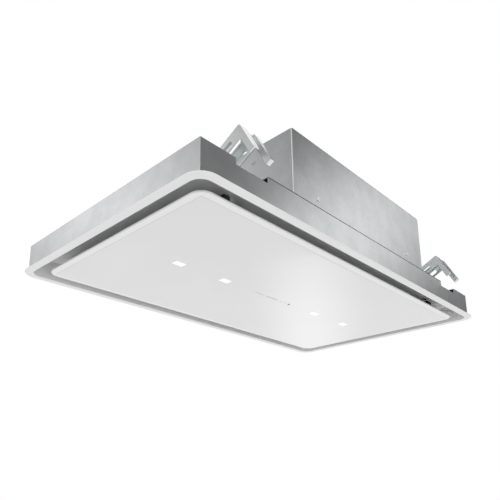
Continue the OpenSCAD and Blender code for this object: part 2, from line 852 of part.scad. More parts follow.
// Cable gland on the control module, for the supply lead
module cable_gland() {
    gland_x = module_x - module_w / 2 - gland_l;
    color([0.12, 0.12, 0.12]) translate([gland_x, module_y, deck_z + module_h / 2]) difference() {
        union() {
            rod_x(gland_r - 2, gland_l);
            translate([gland_l / 3, 0, 0]) rotate([0, 90, 0])
                cylinder(r = gland_r, h = gland_l / 2, $fn = 6);
        }
        translate([-over, 0, 0]) rod_x(gland_bore_r, gland_l + over);
    }
}

// Cover glass: white pane with a ground border and four lamp windows
module cover_glass() {
    color([0.95, 0.95, 0.95]) difference() {
        hull() {
            round_plate(glass_w - 2 * border_w, glass_d - 2 * border_w,
                glass_r - border_w / 2, glass_t);
            translate([0, 0, bevel_h]) round_plate(glass_w, glass_d, glass_r, glass_t - bevel_h);
        }
        for (x = lamp_xs)
            translate([x, 0, -over]) round_plate(lamp_w, lamp_d, lamp_r, glass_t + 2 * over);
    }
}

// Steel tray behind the glass, open where the lamp modules stand through it
module cover_tray() {
    color([0.6, 0.61, 0.62]) translate([0, 0, glass_t]) difference() {
        round_plate(tray_w, tray_d, tray_r, tray_h);
        translate([0, 0, -over])
            round_plate(tray_w - 2 * tray_t, tray_d - 2 * tray_t, tray_r - tray_t,
                tray_h - tray_t + over);
        for (x = lamp_xs)
            translate([x, 0, -over])
                block(lamp_w + 2 * module_margin + play, lamp_d + 2 * module_margin + play,
                    tray_h + 2 * over);
    }
}

// Clear lens that fills a lamp window of the glass
module lamp_lens(i) {
    color([1, 1, 0.96]) translate([lamp_xs[i], 0, 0])
        round_plate(lamp_w - 2 * lamp_fit, lamp_d - 2 * lamp_fit, lamp_r, glass_t);
}

// Lamp module: cooling block with fins that stands on the back of the glass
module lamp_module(i) {
    w = lamp_w + 2 * module_margin;
    d = lamp_d + 2 * module_margin;
    fin_z = lamp_module_h / 2;
    color([0.75, 0.76, 0.77]) translate([lamp_xs[i], 0, glass_t]) {
        block(w, d, fin_z);
        for (k = [0:fin_count - 1])
            translate([(w - fin_t) * (k / (fin_count - 1) - 0.5), 0, 0])
                block(fin_t, d, lamp_module_h);
    }
}

// Touch board that lies on the back of the glass behind the control marks
module touch_board() {
    color([0.1, 0.35, 0.2]) translate([0, 0, glass_t]) {
        block(board_w, board_d, board_t);
        for (s = [-1, 1])
            translate([s * board_w / 4, 0, board_t]) block(chip_size, chip_size, chip_h);
    }
}

// Hinge arm on the tray: a tall lug with a round top, a low rib and a small end lug
module hinge_arm(side) {
    color([0.1, 0.1, 0.1]) translate([side * hinge_x, hinge_y, hinge_z]) difference() {
        union() {
            translate([tall_x, 0, 0]) rotate([90, 0, 90]) linear_extrude(hinge_tall_w)
                tall_lug_shape();
            translate([tall_x - hinge_low_w, hinge_nose - hinge_low_d, -hinge_rise])
                cube([hinge_low_w, hinge_low_d, hinge_low_h]);
            translate([lug_x, 0, 0]) rod_x(hinge_barrel_r, hinge_lug_w);
            translate([lug_x, -hinge_barrel_r, -hinge_rise])
                cube([hinge_lug_w, 2 * hinge_barrel_r, hinge_rise]);
            translate([lug_x, hinge_nose - hinge_foot_l, -hinge_rise])
                cube([tall_x + hinge_tall_w - lug_x, hinge_foot_l, hinge_foot_t]);
        }
        translate([lug_x - over, 0, 0])
            rod_x(hinge_pin_r + fit, tall_x + hinge_tall_w - lug_x + 2 * over);
    }
}

// Side view of the tall lug, seen along the pin
module tall_lug_shape() {
    depth = hinge_rise + hinge_nose;
    translate([hinge_nose - depth / 2, hinge_tall_h / 2 - hinge_rise])
        round_rect(depth, hinge_tall_h, hinge_round);
    translate([hinge_nose - depth, -hinge_rise]) square([depth, hinge_round]);
}

// Hinge strap: steel bracket that hangs from the air guide and ends in a barrel
module hinge_bracket(side) {
    rise = guide_z - hinge_z;
    color([0.62, 0.63, 0.64]) translate([side * hinge_x + barrel_x, hinge_y, hinge_z])
        difference() {
            union() {
                rod_x(hinge_barrel_r, hinge_barrel_w);
                translate([0, -hinge_barrel_r, 0]) cube([hinge_barrel_w, hinge_strap_t, rise]);
                translate([0, -hinge_barrel_r - hinge_plate_l, rise - hinge_strap_t])
                    cube([hinge_barrel_w, hinge_plate_l + hinge_strap_t, hinge_strap_t]);
            }
            translate([-over, 0, 0]) rod_x(hinge_pin_r + fit, hinge_barrel_w + 2 * over);
        }
}

// Hinge pin with a flat head at each end
module hinge_pin(side) {
    length = tall_x + hinge_tall_w - lug_x;
    color([0.75, 0.76, 0.78]) translate([side * hinge_x + lug_x, hinge_y, hinge_z]) {
        rod_x(hinge_pin_r, length);
        translate([-pin_head_t, 0, 0]) rod_x(pin_head_r, pin_head_t);
        translate([length, 0, 0]) rod_x(pin_head_r, pin_head_t);
    }
}

// Spring catch under the air guide, with a slot that grips the striker
module catch(side) {
    color([0.1, 0.1, 0.1]) translate([side * catch_x, catch_y, guide_z - catch_drop]) difference() {
        block(catch_w, catch_d, catch_drop);
        translate([0, 0, -over])
            block(striker_w + 2 * play, catch_slot, catch_drop - catch_roof + over);
    }
}

// Striker tongues that stand on the tray and enter the catches
module strikers() {
    color([0.7, 0.71, 0.72]) for (side = [-1, 1]) translate([side * catch_x, catch_y, tray_top]) {
        block(striker_w, striker_t, striker_h);
        translate([0, (striker_foot - striker_t) / 2, 0]) block(striker_w, striker_foot, striker_t);
    }
}

// Places of the two screws of each bracket post
post_screw_places = [for (sx = [-1, 1], sy = [-1, 1], k = [-1, 1])
    [sx * bracket_x + k * (post_w + post_base_w) / 4, sy * pivot_y]];
module post_screw_holes() {
    for (p = post_screw_places)
        translate([p[0], p[1], deck_z - casing_t - over])
            cylinder(r = post_screw_r + fit, h = casing_t + post_base_t + 2 * over,
                $fn = small_fn);
}

// Bracket posts: folded carriers on the deck, each with two ears for the pivot bolt
module bracket_posts() {
    color([0.74, 0.75, 0.76]) difference() {
        for (sx = [-1, 1], sy = [-1, 1]) translate([sx * bracket_x, sy * pivot_y, 0]) {
            translate([0, 0, deck_z]) block(post_base_w, post_base_d, post_base_t);
            for (k = [-1, 1]) translate([k * (post_w - ear_t) / 2, 0, 0]) {
                translate([0, 0, deck_z]) block(ear_t, 2 * post_r, pivot_z - deck_z);
                translate([-ear_t / 2, 0, pivot_z]) rod_x(post_r, ear_t);
            }
        }
        for (sy = [-1, 1])
            translate([-frame_w / 2, sy * pivot_y, pivot_z]) rod_x(bolt_d / 2 + fit, frame_w);
        post_screw_holes();
    }
}

// Screws that hold the posts to the deck
module post_screws() {
    color([0.6, 0.61, 0.62]) for (p = post_screw_places)
        translate([p[0], p[1], deck_z + post_base_t]) {
            cylinder(r = post_screw_head_r, h = post_screw_head_h, $fn = 6);
            translate([0, 0, -post_screw_l])
                cylinder(r = post_screw_r, h = post_screw_l, $fn = small_fn);
        }
}

// Pivot bolt with its washers and nut outside the bracket's cheeks
module pivot_bolt(sx, sy) {
    half = bracket_w / 2 + slot_play;
    color([0.8, 0.8, 0.78]) rotate([0, 0, sy < 0 ? 180 : 0])
        translate([sx * sy * bracket_x, pivot_y, pivot_z]) {
        translate([-half - washer_t - nut_h - bolt_tail, 0, 0])
            rod_x(bolt_d / 2, 2 * half + 2 * washer_t + nut_h + bolt_tail);
        translate([half, 0, 0]) rod_x(washer_r, washer_t);
        translate([-half - washer_t, 0, 0]) rod_x(washer_r, washer_t);
        translate([half + washer_t, 0, 0]) rod_x(head_r, head_h, 6);
        translate([-half - washer_t - nut_h, 0, 0]) rod_x(head_r, nut_h, 6);
    }
}

// Side view of a bracket cheek: slotted leg and arm meet at a rounded apex
module cheek_shape() {
    difference() {
        union() {
            translate([bracket_r, 0]) square([leg_l - bracket_r, leg_w]);
            translate([0, bracket_r]) square([arm_w, arm_l - bracket_r]);
            translate([bracket_r, bracket_r]) circle(r = bracket_r, $fn = small_fn);
        }
        translate([0, bolt_w]) slot_shape(slot_start, slot_end, bolt_d + 2 * slot_play);
    }
}

// Clamp bracket in its own axes: u runs along the leg, w along the arm, x across
module bracket_body() {
    half = bracket_w / 2;
    for (x = [-half, half - bracket_t])
        translate([x, 0, 0]) rotate([90, 0, 90]) linear_extrude(bracket_t) cheek_shape();
    difference() {
        translate([-half, bracket_r, 0]) cube([bracket_w, leg_l - bracket_r, bracket_t]);
        translate([0, 0, -over]) linear_extrude(bracket_t + 2 * over) rotate([0, 0, 90])
            slot_shape(web_slot_start, web_slot_end, web_slot_w);
    }
    translate([half - inner_flange, 0, bracket_r])
        cube([inner_flange, bracket_t, arm_l - bracket_r - inner_short]);
    translate([-half - outer_flange, 0, flange_drop])
        cube([outer_flange + bracket_t, bracket_t, arm_l + arm_extra - flange_drop]);
    translate([-half - outer_flange, 0, arm_l + arm_extra - bracket_t])
        cube([outer_flange + bracket_t, arm_w, bracket_t]);
    translate([-half, 0, arm_l - over]) cube([bracket_t, arm_w, arm_extra + over]);
}

// Clamp bracket in its place; the front ones are the same piece turned half round
module bracket(sx, sy) {
    color([0.78, 0.79, 0.8]) rotate([0, 0, sy < 0 ? 180 : 0])
        translate([sx * sy * bracket_x, apex_y, apex_z])
            rotate([180 + bracket_tilt, 0, 0]) bracket_body();
}

casing();
ceiling_frame();
frame_rivets();
air_guide();
grease_filter(1);  // grease_filter_left
grease_filter(-1);  // grease_filter_right
filter_latch(1);  // filter_latch_left
filter_latch(-1);  // filter_latch_right
blower_box();
box_lid();
box_screws();
box_grommet();
fan_base();
inlet_ring();
fan_scroll();
fan_wheel();
fan_shaft();
fan_motor();
motor_bracket();
motor_bushes();
outlet_adaptor();
flap_axle();
flap(1);  // flap_back
flap(-1);  // flap_front
control_module();
cable_gland();
cover_glass();
cover_tray();
lamp_lens(0);  // lamp_lens_1
lamp_lens(1);  // lamp_lens_2
lamp_lens(2);  // lamp_lens_3
lamp_lens(3);  // lamp_lens_4
lamp_module(0);  // lamp_module_1
lamp_module(1);  // lamp_module_2
lamp_module(2);  // lamp_module_3
lamp_module(3);  // lamp_module_4
touch_board();
hinge_arm(1);  // hinge_arm_left
hinge_arm(-1);  // hinge_arm_right
hinge_bracket(1);  // hinge_bracket_left
hinge_bracket(-1);  // hinge_bracket_right
hinge_pin(1);  // hinge_pin_left
hinge_pin(-1);  // hinge_pin_right
catch(1);  // catch_left
catch(-1);  // catch_right
strikers();
bracket_posts();
post_screws();
pivot_bolt(1, 1);  // pivot_bolt_back_left
pivot_bolt(-1, 1);  // pivot_bolt_back_right
pivot_bolt(1, -1);  // pivot_bolt_front_left
pivot_bolt(-1, -1);  // pivot_bolt_front_right
bracket(1, 1);  // bracket_back_left
bracket(-1, 1);  // bracket_back_right
bracket(1, -1);  // bracket_front_left
bracket(-1, -1);  // bracket_front_right
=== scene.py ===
import math

import bpy
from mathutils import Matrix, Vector


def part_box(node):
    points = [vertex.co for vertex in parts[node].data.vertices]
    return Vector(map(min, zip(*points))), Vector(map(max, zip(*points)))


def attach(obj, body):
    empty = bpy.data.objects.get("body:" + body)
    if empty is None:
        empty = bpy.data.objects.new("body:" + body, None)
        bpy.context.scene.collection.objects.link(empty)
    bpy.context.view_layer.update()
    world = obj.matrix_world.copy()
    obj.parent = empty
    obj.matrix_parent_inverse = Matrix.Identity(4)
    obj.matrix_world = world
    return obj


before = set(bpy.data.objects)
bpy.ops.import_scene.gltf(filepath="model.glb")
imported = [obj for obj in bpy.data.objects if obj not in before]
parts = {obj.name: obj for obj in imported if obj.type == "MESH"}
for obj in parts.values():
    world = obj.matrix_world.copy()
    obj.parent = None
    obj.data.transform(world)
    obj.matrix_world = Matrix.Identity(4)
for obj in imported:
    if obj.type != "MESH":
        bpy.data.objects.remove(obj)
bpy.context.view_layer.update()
bpy.ops.object.select_all(action="DESELECT")

# Camera: it stands below and beside the hood, as someone who looks up at it from the corner of
# the kitchen. The lens is shifted a little, so that the upright edges of the box stay nearly
# upright in the picture.
camera_place = (0.861, 0.695, -0.390)
camera_pitch, camera_yaw = 14.14, 135.26
bpy.ops.object.camera_add(
    location=camera_place,
    rotation=(math.radians(90 + camera_pitch), 0, math.radians(camera_yaw)),
)
camera = bpy.context.object
camera.data.sensor_width = 36
camera.data.lens = 39.09
camera.data.shift_x = 0.067
camera.data.shift_y = 0.2
bpy.context.scene.camera = camera

# Ceiling frame: a ring of 3 mm steel, pressed with a rolled outer edge and powder-coated white.
# The coat is smooth and satin. Its orange peel is too fine for the picture, so it is drawn
# 1.2 mm wide, and only breaks up the highlights.


def srgb(code):
    """A colour written as hex, turned into linear light."""
    values = [int(code[i:i + 2], 16) / 255 for i in (1, 3, 5)]
    return [v / 12.92 if v <= 0.04045 else ((v + 0.055) / 1.055) ** 2.4 for v in values] + [1.0]


def add(tree, kind, inputs=None, **settings):
    """Adds a node with its settings, and sets or links its inputs (a mix's colours are 6 and 7)."""
    node = tree.nodes.new(kind)
    for name, value in settings.items():
        setattr(node, name, value)
    for name, value in (inputs or {}).items():
        if isinstance(value, bpy.types.NodeSocket):
            tree.links.new(value, node.inputs[name])
        else:
            node.inputs[name].default_value = value
    return node


def new_material(name, **shader_values):
    """A material with its shader and the object's own coordinates."""
    material = bpy.data.materials.new(name)
    material.use_nodes = True
    tree = material.node_tree
    shader = tree.nodes["Principled BSDF"]
    for socket, value in shader_values.items():
        shader.inputs[socket.replace("_", " ")].default_value = value
    place = add(tree, "ShaderNodeTexCoord").outputs["Object"]
    return material, tree, shader, place


def wear(material, *names):
    """Gives CAD pieces a material of their own finish."""
    for name in names:
        parts[name].data.materials.clear()
        parts[name].data.materials.append(material)


def bead(centre, width, depth, corner, radius):
    """A round bead that runs once round a rectangle with round corners."""
    bpy.ops.object.select_all(action="DESELECT")
    bpy.ops.mesh.primitive_plane_add(size=1, location=centre)
    piece = bpy.context.object
    piece.scale = (width, depth, 1)
    bpy.ops.object.transform_apply(location=False, rotation=False, scale=True)
    bpy.ops.object.mode_set(mode="EDIT")
    bpy.ops.mesh.select_all(action="SELECT")
    bpy.ops.mesh.bevel(offset=corner, offset_type="OFFSET", segments=10, affect="VERTICES")
    bpy.ops.mesh.delete(type="ONLY_FACE")
    bpy.ops.object.mode_set(mode="OBJECT")
    bpy.ops.object.convert(target="CURVE")
    piece.data.bevel_depth = radius
    piece.data.bevel_resolution = 3
    bpy.ops.object.convert(target="MESH")
    return piece


def settle(piece, name, body, material):
    """Finishes a piece: its modifiers and its place go into its mesh, and it rides on its body."""
    bpy.ops.object.select_all(action="DESELECT")
    piece.select_set(True)
    bpy.context.view_layer.objects.active = piece
    for modifier in [modifier.name for modifier in piece.modifiers]:
        bpy.ops.object.modifier_apply(modifier=modifier)
    bpy.ops.object.transform_apply(location=True, rotation=True, scale=True)
    piece.name = name
    piece.data.materials.clear()
    piece.data.materials.append(material)
    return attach(piece, body)


powder_coat, tree, shader, place = new_material(
    "powder-coated steel", Roughness=0.38, Specular_IOR_Level=0.5)
peel_size, peel_depth, cloud_size = 0.0012, 0.0002, 0.1667
peel = add(tree, "ShaderNodeTexNoise", {"Vector": place, "Scale": 1 / peel_size, "Detail": 2.0})
cloud = add(tree, "ShaderNodeTexNoise", {"Vector": place, "Scale": 1 / cloud_size, "Detail": 3.0})
tint = add(tree, "ShaderNodeMix", {
    "Factor": cloud.outputs["Fac"], 6: srgb("#e4e4e4"), 7: srgb("#ebebeb")}, data_type="RGBA")
tree.links.new(tint.outputs[2], shader.inputs["Base Color"])
bump = add(tree, "ShaderNodeBump", {
    "Height": peel.outputs["Fac"], "Strength": 0.05, "Distance": peel_depth})
tree.links.new(bump.outputs["Normal"], shader.inputs["Normal"])
wear(powder_coat, "ceiling_frame")
frame_low, frame_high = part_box("ceiling_frame")
bead_radius, bead_inset, bead_rise, frame_corner = 0.0013, 0.0011, 0.0016, 0.030
rolled_edge = bead((0, 0, bead_rise), frame_high.x - frame_low.x - 2 * bead_inset,
                   frame_high.y - frame_low.y - 2 * bead_inset, frame_corner - bead_inset,
                   bead_radius)
settle(rolled_edge, "frame_rolled_edge", "housing", powder_coat)

# Casing, blower box and the sheet-metal pieces that carry the fan: folded hot-dip galvanised
# sheet. The zinc mirrors the room softly, and has faint crystals and cloudy patches.
# A folded lip runs down each corner of the box, where two walls meet.


def clouded_metal(name, dark, light, rough, metallic=1.0):
    """A metal with soft cloudy patches and faint crystals."""
    material, tree, shader, place = new_material(name, Metallic=metallic, Roughness=rough)
    patch_size, patch_height, crystal_size, crystal_share = 0.04545, 0.0004, 0.004, 0.06
    fold_rounding = 0.0006
    patches = add(tree, "ShaderNodeTexNoise", {
        "Vector": place, "Scale": 1 / patch_size, "Detail": 7.0, "Roughness": 0.6})
    crystals = add(tree, "ShaderNodeTexVoronoi", {"Vector": place, "Scale": 1 / crystal_size})
    shade = add(tree, "ShaderNodeMix", {
        "Factor": crystal_share, 6: patches.outputs["Fac"], 7: crystals.outputs["Color"]},
        data_type="RGBA")
    colour = add(tree, "ShaderNodeValToRGB", {"Fac": shade.outputs[2]})
    for stop, (position, code) in zip(colour.color_ramp.elements, ((0.3, dark), (0.7, light))):
        stop.position = position
        stop.color = srgb(code)
    tree.links.new(colour.outputs["Color"], shader.inputs["Base Color"])
    rounding = add(tree, "ShaderNodeBevel", {"Radius": fold_rounding}, samples=4)
    bump = add(tree, "ShaderNodeBump", {
        "Height": patches.outputs["Fac"], "Strength": 0.06, "Distance": patch_height,
        "Normal": rounding.outputs["Normal"]})
    tree.links.new(bump.outputs["Normal"], shader.inputs["Normal"])
    return material


def slab(size, rounding, centre=(0, 0, 0)):
    """A plate of a size, with rounded edges."""
    bpy.ops.object.select_all(action="DESELECT")
    bpy.ops.mesh.primitive_cube_add(size=1, location=centre)
    piece = bpy.context.object
    piece.scale = size
    bpy.ops.object.transform_apply(location=False, rotation=False, scale=True)
    edge = piece.modifiers.new("edge", "BEVEL")
    edge.width = rounding
    edge.segments = 3
    bpy.ops.object.modifier_apply(modifier="edge")
    return piece


def repeated(piece, places):
    """One object with the piece at each of the places, every copy with its own mesh."""
    bpy.ops.object.select_all(action="DESELECT")
    for place in places[1:]:
        copy = piece.copy()
        copy.data = piece.data.copy()
        copy.location = place
        bpy.context.collection.objects.link(copy)
        copy.select_set(True)
    piece.location = places[0]
    piece.select_set(True)
    bpy.context.view_layer.objects.active = piece
    bpy.ops.object.join()
    return piece


galvanised_sheet = clouded_metal("hot-dip galvanised sheet", "#cccfd0", "#dddfe0", rough=0.25)
wear(galvanised_sheet, "casing", "blower_box", "box_lid", "box_grommet", "fan_base",
     "motor_bracket", "bracket_posts")
box_low, box_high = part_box("blower_box")
lid_low, lid_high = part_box("box_lid")
seam_width, seam_proud, seam_rounding = 0.0035, 0.0005, 0.0002
seam_foot, seam_head = 0.002, 0.0015
seam_low, seam_high = box_low.z + seam_foot, lid_high.z - seam_head
seam = slab((seam_width, 2 * seam_proud, seam_high - seam_low), seam_rounding)
seams = repeated(seam, [
    (x, y, (seam_low + seam_high) / 2)
    for x in (lid_high.x - seam_width / 2, lid_low.x + seam_width / 2)
    for y in (lid_high.y, lid_low.y)])
settle(seams, "box_corner_seams", "housing", galvanised_sheet)

# Clamp brackets, bolts, rivets, pins and shafts: pressed or turned steel, electro-galvanised.
# This zinc is thinner and brighter than that of the sheet, so these pieces look pale beside it.
bright_zinc = clouded_metal("electro-galvanised steel", "#e6ebea", "#f3f6f5", rough=0.2,
                            metallic=0.88)
wear(bright_zinc, "bracket_back_left", "bracket_back_right", "bracket_front_left",
     "bracket_front_right", "frame_rivets", "box_screws", "post_screws", "fan_shaft",
     "flap_axle", "hinge_pin_left", "hinge_pin_right", "pivot_bolt_back_left",
     "pivot_bolt_back_right", "pivot_bolt_front_left", "pivot_bolt_front_right")

# Sheet-metal screws of the box lid, of its flange on the deck, and of the control module.
# Each has a domed head with a cross recess, and stands square on its sheet.


def screws(name, places, radius):
    """Pan-head screws that stand upright at their places."""
    height = 0.62 * radius
    bpy.ops.object.select_all(action="DESELECT")
    bpy.ops.mesh.primitive_cylinder_add(
        vertices=32, radius=radius, depth=height, location=(0, 0, height / 2))
    head = bpy.context.object
    dome = head.modifiers.new("dome", "BEVEL")
    dome.width = 0.4 * height
    dome.segments = 3
    dome.limit_method = "ANGLE"
    bpy.ops.object.modifier_apply(modifier="dome")
    length, width = 1.1 * radius, 0.32 * radius
    recess_floor, recess_top = 0.5 * height, 2 * height
    for size_x, size_y in ((length, width), (width, length)):
        cutter = slab((size_x, size_y, recess_top - recess_floor), 0.05 * width,
                      (0, 0, (recess_top + recess_floor) / 2))
        bpy.ops.object.select_all(action="DESELECT")
        head.select_set(True)
        bpy.context.view_layer.objects.active = head
        recess = head.modifiers.new("recess", "BOOLEAN")
        recess.object = cutter
        recess.solver = "EXACT"
        bpy.ops.object.modifier_apply(modifier="recess")
        bpy.data.objects.remove(cutter)
    bpy.ops.object.transform_apply(location=True, rotation=False, scale=False)
    return settle(repeated(head, places), name, "housing", bright_zinc)


def spread(first, last, count):
    """Evenly spaced places from the first to the last."""
    return [first + (last - first) * i / (count - 1) for i in range(count)]


lid_screw_inset, lid_screw_count, lid_screw_radius = 0.011, 5, 0.0035
lid_xs = spread(lid_low.x + lid_screw_inset, lid_high.x - lid_screw_inset, lid_screw_count)
lid_ys = spread(lid_low.y + lid_screw_inset, lid_high.y - lid_screw_inset, lid_screw_count)
screws("lid_screws", [(x, y, lid_high.z) for x in lid_xs for y in (lid_ys[0], lid_ys[-1])]
       + [(x, y, lid_high.z) for x in (lid_xs[0], lid_xs[-1]) for y in lid_ys[1:-1]],
       lid_screw_radius)
flange_sheet, flange_inset, flange_screw_count, flange_screw_radius = 0.001, 0.0045, 4, 0.0028
flange_xs = spread(lid_low.x, lid_high.x, flange_screw_count)
flange_ys = (box_low.y + flange_inset, box_high.y - flange_inset)
screws("flange_screws", [(x, y, box_low.z + flange_sheet) for x in flange_xs for y in flange_ys],
       flange_screw_radius)
module_low, module_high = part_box("control_module")
module_side_inset, module_end_inset, module_screw_radius = 0.014, 0.008, 0.003
screws("module_screws", [
    (x, y, module_high.z)
    for x in (module_low.x + module_side_inset, module_high.x - module_side_inset)
    for y in (module_low.y + module_end_inset, module_high.y - module_end_inset)],
    module_screw_radius)

# Air guide behind the suction gap, with its rim: galvanised sheet, powder-coated light grey.
# The coat is matt, so the light that falls through the gap fades softly towards the middle.


def speckled(name, dark, light, spot_size, detail, **shader_values):
    """A material of two close tones that mix in soft spots."""
    material, tree, shader, place = new_material(name, **shader_values)
    spots = add(tree, "ShaderNodeTexNoise", {
        "Vector": place, "Scale": 1 / spot_size, "Detail": detail})
    tint = add(tree, "ShaderNodeMix", {
        "Factor": spots.outputs["Fac"], 6: srgb(dark), 7: srgb(light)}, data_type="RGBA")
    tree.links.new(tint.outputs[2], shader.inputs["Base Color"])
    return material


guide_coat = speckled("light grey powder coat", "#e6e7e8", "#efeff0", spot_size=0.0333,
                      detail=4.0, Roughness=0.6)
wear(guide_coat, "air_guide")

# Tray of the cover panel with its strikers, and the hinge brackets: ground stainless steel.
# The grinding runs along the long side, and makes the highlights long and soft. Its lines are
# finer than the picture can show, so they are drawn 1.1 mm wide.
ground_steel, tree, shader, place = new_material("ground stainless steel", Metallic=0.7)
line_length, line_width = 0.25, 0.001111
stretch = add(tree, "ShaderNodeMapping", {
    "Vector": place, "Scale": (1 / line_length, 1 / line_width, 1 / line_width)})
grain = add(tree, "ShaderNodeTexNoise", {
    "Vector": stretch.outputs["Vector"], "Scale": 1.0, "Detail": 3.0})
tint = add(tree, "ShaderNodeMix", {
    "Factor": grain.outputs["Fac"], 6: srgb("#b9bbbd"), 7: srgb("#d3d5d6")}, data_type="RGBA")
rough = add(tree, "ShaderNodeMapRange", {
    "Value": grain.outputs["Fac"], "To Min": 0.28, "To Max": 0.42})
tree.links.new(tint.outputs[2], shader.inputs["Base Color"])
tree.links.new(rough.outputs["Result"], shader.inputs["Roughness"])
wear(ground_steel, "cover_tray", "hinge_bracket_left", "hinge_bracket_right", "strikers")

# Fan scroll and wheel, duct adaptor and flaps, control module, latches, catches and hinge arms:
# moulded black nylon. The mould's spark-eroded grain, drawn coarser than it is, keeps them matt,
# with a soft grey sheen where the light grazes them.
black_plastic, tree, shader, place = new_material("moulded black nylon", Roughness=0.5)
grain_size, grain_depth, mould_rounding = 0.001111, 0.0002, 0.0008
grain = add(tree, "ShaderNodeTexNoise", {"Vector": place, "Scale": 1 / grain_size, "Detail": 2.0})
tint = add(tree, "ShaderNodeMix", {
    "Factor": grain.outputs["Fac"], 6: srgb("#1b1b1c"), 7: srgb("#29292b")}, data_type="RGBA")
tree.links.new(tint.outputs[2], shader.inputs["Base Color"])
rounding = add(tree, "ShaderNodeBevel", {"Radius": mould_rounding}, samples=4)
bump = add(tree, "ShaderNodeBump", {
    "Height": grain.outputs["Fac"], "Strength": 0.2, "Distance": grain_depth,
    "Normal": rounding.outputs["Normal"]})
tree.links.new(bump.outputs["Normal"], shader.inputs["Normal"])
wear(black_plastic, "inlet_ring", "fan_scroll", "fan_wheel", "outlet_adaptor", "flap_back",
     "flap_front", "control_module", "cable_gland", "filter_latch_left",
     "filter_latch_right", "catch_left", "catch_right", "hinge_arm_left", "hinge_arm_right")

# Bushes of the motor, and the lid seal of the control module: black moulded rubber, dull and soft.
# The seal is a cord that lies round the case, just under its lid and clear of the screw ears.
rubber = speckled("black rubber", "#171717", "#242424", spot_size=0.004545, detail=4.0,
                  Roughness=0.75)
wear(rubber, "motor_bushes")
seal_radius, seal_drop, seal_inset = 0.0007, 0.003, 0.0003
module_corner, ear_reach = 0.006, 0.006
seal = bead(((module_low.x + module_high.x) / 2, (module_low.y + module_high.y) / 2,
             module_high.z - seal_drop),
            module_high.x - module_low.x - 2 * ear_reach - 2 * seal_inset,
            module_high.y - module_low.y - 2 * seal_inset, module_corner, seal_radius)
settle(seal, "module_seal", "housing", rubber)

# Painted shadow: a black strip along the deck's folded back and front edges, between the bracket
# notches.
# Painted shade: black pads under the deck beside each notch stand in for the shade inside the
# notch.
case_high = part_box("casing")[1]
sheet, flange_reach, notch_near, notch_far = 0.0009, 0.006, 0.300, 0.369
wall_y = case_high.y - flange_reach
# The black strip is a dark piece put where the casing's top edge only casts a shadow gap.
shadow_strip_height, shadow_strip_proud, shadow_strip_rounding = 0.0010, 0.0003, 0.0002
shadow_strip = slab((2 * notch_near, sheet + shadow_strip_proud, shadow_strip_height), shadow_strip_rounding)
edge_shadow_strip = repeated(shadow_strip, [
    (0, side * (wall_y + (shadow_strip_proud - sheet) / 2), case_high.z - shadow_strip_height / 2)
    for side in (1, -1)])
settle(edge_shadow_strip, "deck_edge_painted_shadow", "housing", rubber)
# The black pads paint the shade under the deck beside each notch.
pad_length, pad_depth, pad_thick, pad_rounding = 0.045, 0.040, 0.0015, 0.0003
pad = slab((pad_length, pad_depth - sheet, pad_thick), pad_rounding)
shade_pads = repeated(pad, [
    (end * x, side * (wall_y - (sheet + pad_depth) / 2), case_high.z - sheet - pad_thick / 2)
    for side in (1, -1) for end in (1, -1)
    for x in (notch_near - pad_length / 2, notch_far + pad_length / 2)])
settle(shade_pads, "deck_painted_shade_pads", "housing", rubber)

# Touch board on the back of the glass: epoxy board under a green solder mask.
# The copper paths show through the mask as slightly lighter lines.
board_green, tree, shader, place = new_material("green circuit board", Roughness=0.35)
path_pitch = 0.01667
paths = add(tree, "ShaderNodeTexBrick", {
    "Vector": place, "Scale": 1 / path_pitch, "Color1": srgb("#1c5b34"),
    "Color2": srgb("#216a3d"), "Mortar": srgb("#2d8450"), "Mortar Size": 0.03})
tree.links.new(paths.outputs["Color"], shader.inputs["Base Color"])
wear(board_green, "touch_board")

# Fan motor: a die-cast aluminium housing, darker and duller than sheet.
# It hangs from its bracket on the rubber bushes.
cast_metal = clouded_metal("cast motor housing", "#85888b", "#9c9fa2", rough=0.48)
wear(cast_metal, "fan_motor")

# Grease filters: aluminium channel frames round folded mesh. The lamp modules are aluminium too.
# A sheet of woven wire covers the folds, and its edge lies in the channel.
aluminium = clouded_metal("mill-finish aluminium", "#b6b8ba", "#cfd1d3", rough=0.36)
wear(aluminium, "grease_filter_left", "grease_filter_right",
     *[f"lamp_module_{i}" for i in (1, 2, 3, 4)])
channel, front_bar, filter_reach = 0.010, 0.036, 0.006
wire, wire_pitch, weave_lap = 0.0007, 0.006, 0.001
for side in ("left", "right"):
    low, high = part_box(f"grease_filter_{side}")
    x_low, x_high = low.x + channel - weave_lap, high.x - channel + weave_lap
    y_low = low.y + front_bar - weave_lap
    y_high = high.y - filter_reach - channel + weave_lap
    bpy.ops.object.select_all(action="DESELECT")
    bpy.ops.mesh.primitive_grid_add(
        x_subdivisions=round((x_high - x_low) / wire_pitch),
        y_subdivisions=round((y_high - y_low) / wire_pitch), size=1,
        location=((x_low + x_high) / 2, (y_low + y_high) / 2, low.z + wire))
    weave = bpy.context.object
    weave.scale = (x_high - x_low, y_high - y_low, 1)
    bpy.ops.object.transform_apply(location=False, rotation=False, scale=True)
    wires = weave.modifiers.new("wires", "WIREFRAME")
    wires.thickness = wire
    settle(weave, f"filter_weave_{side}", "housing", aluminium)
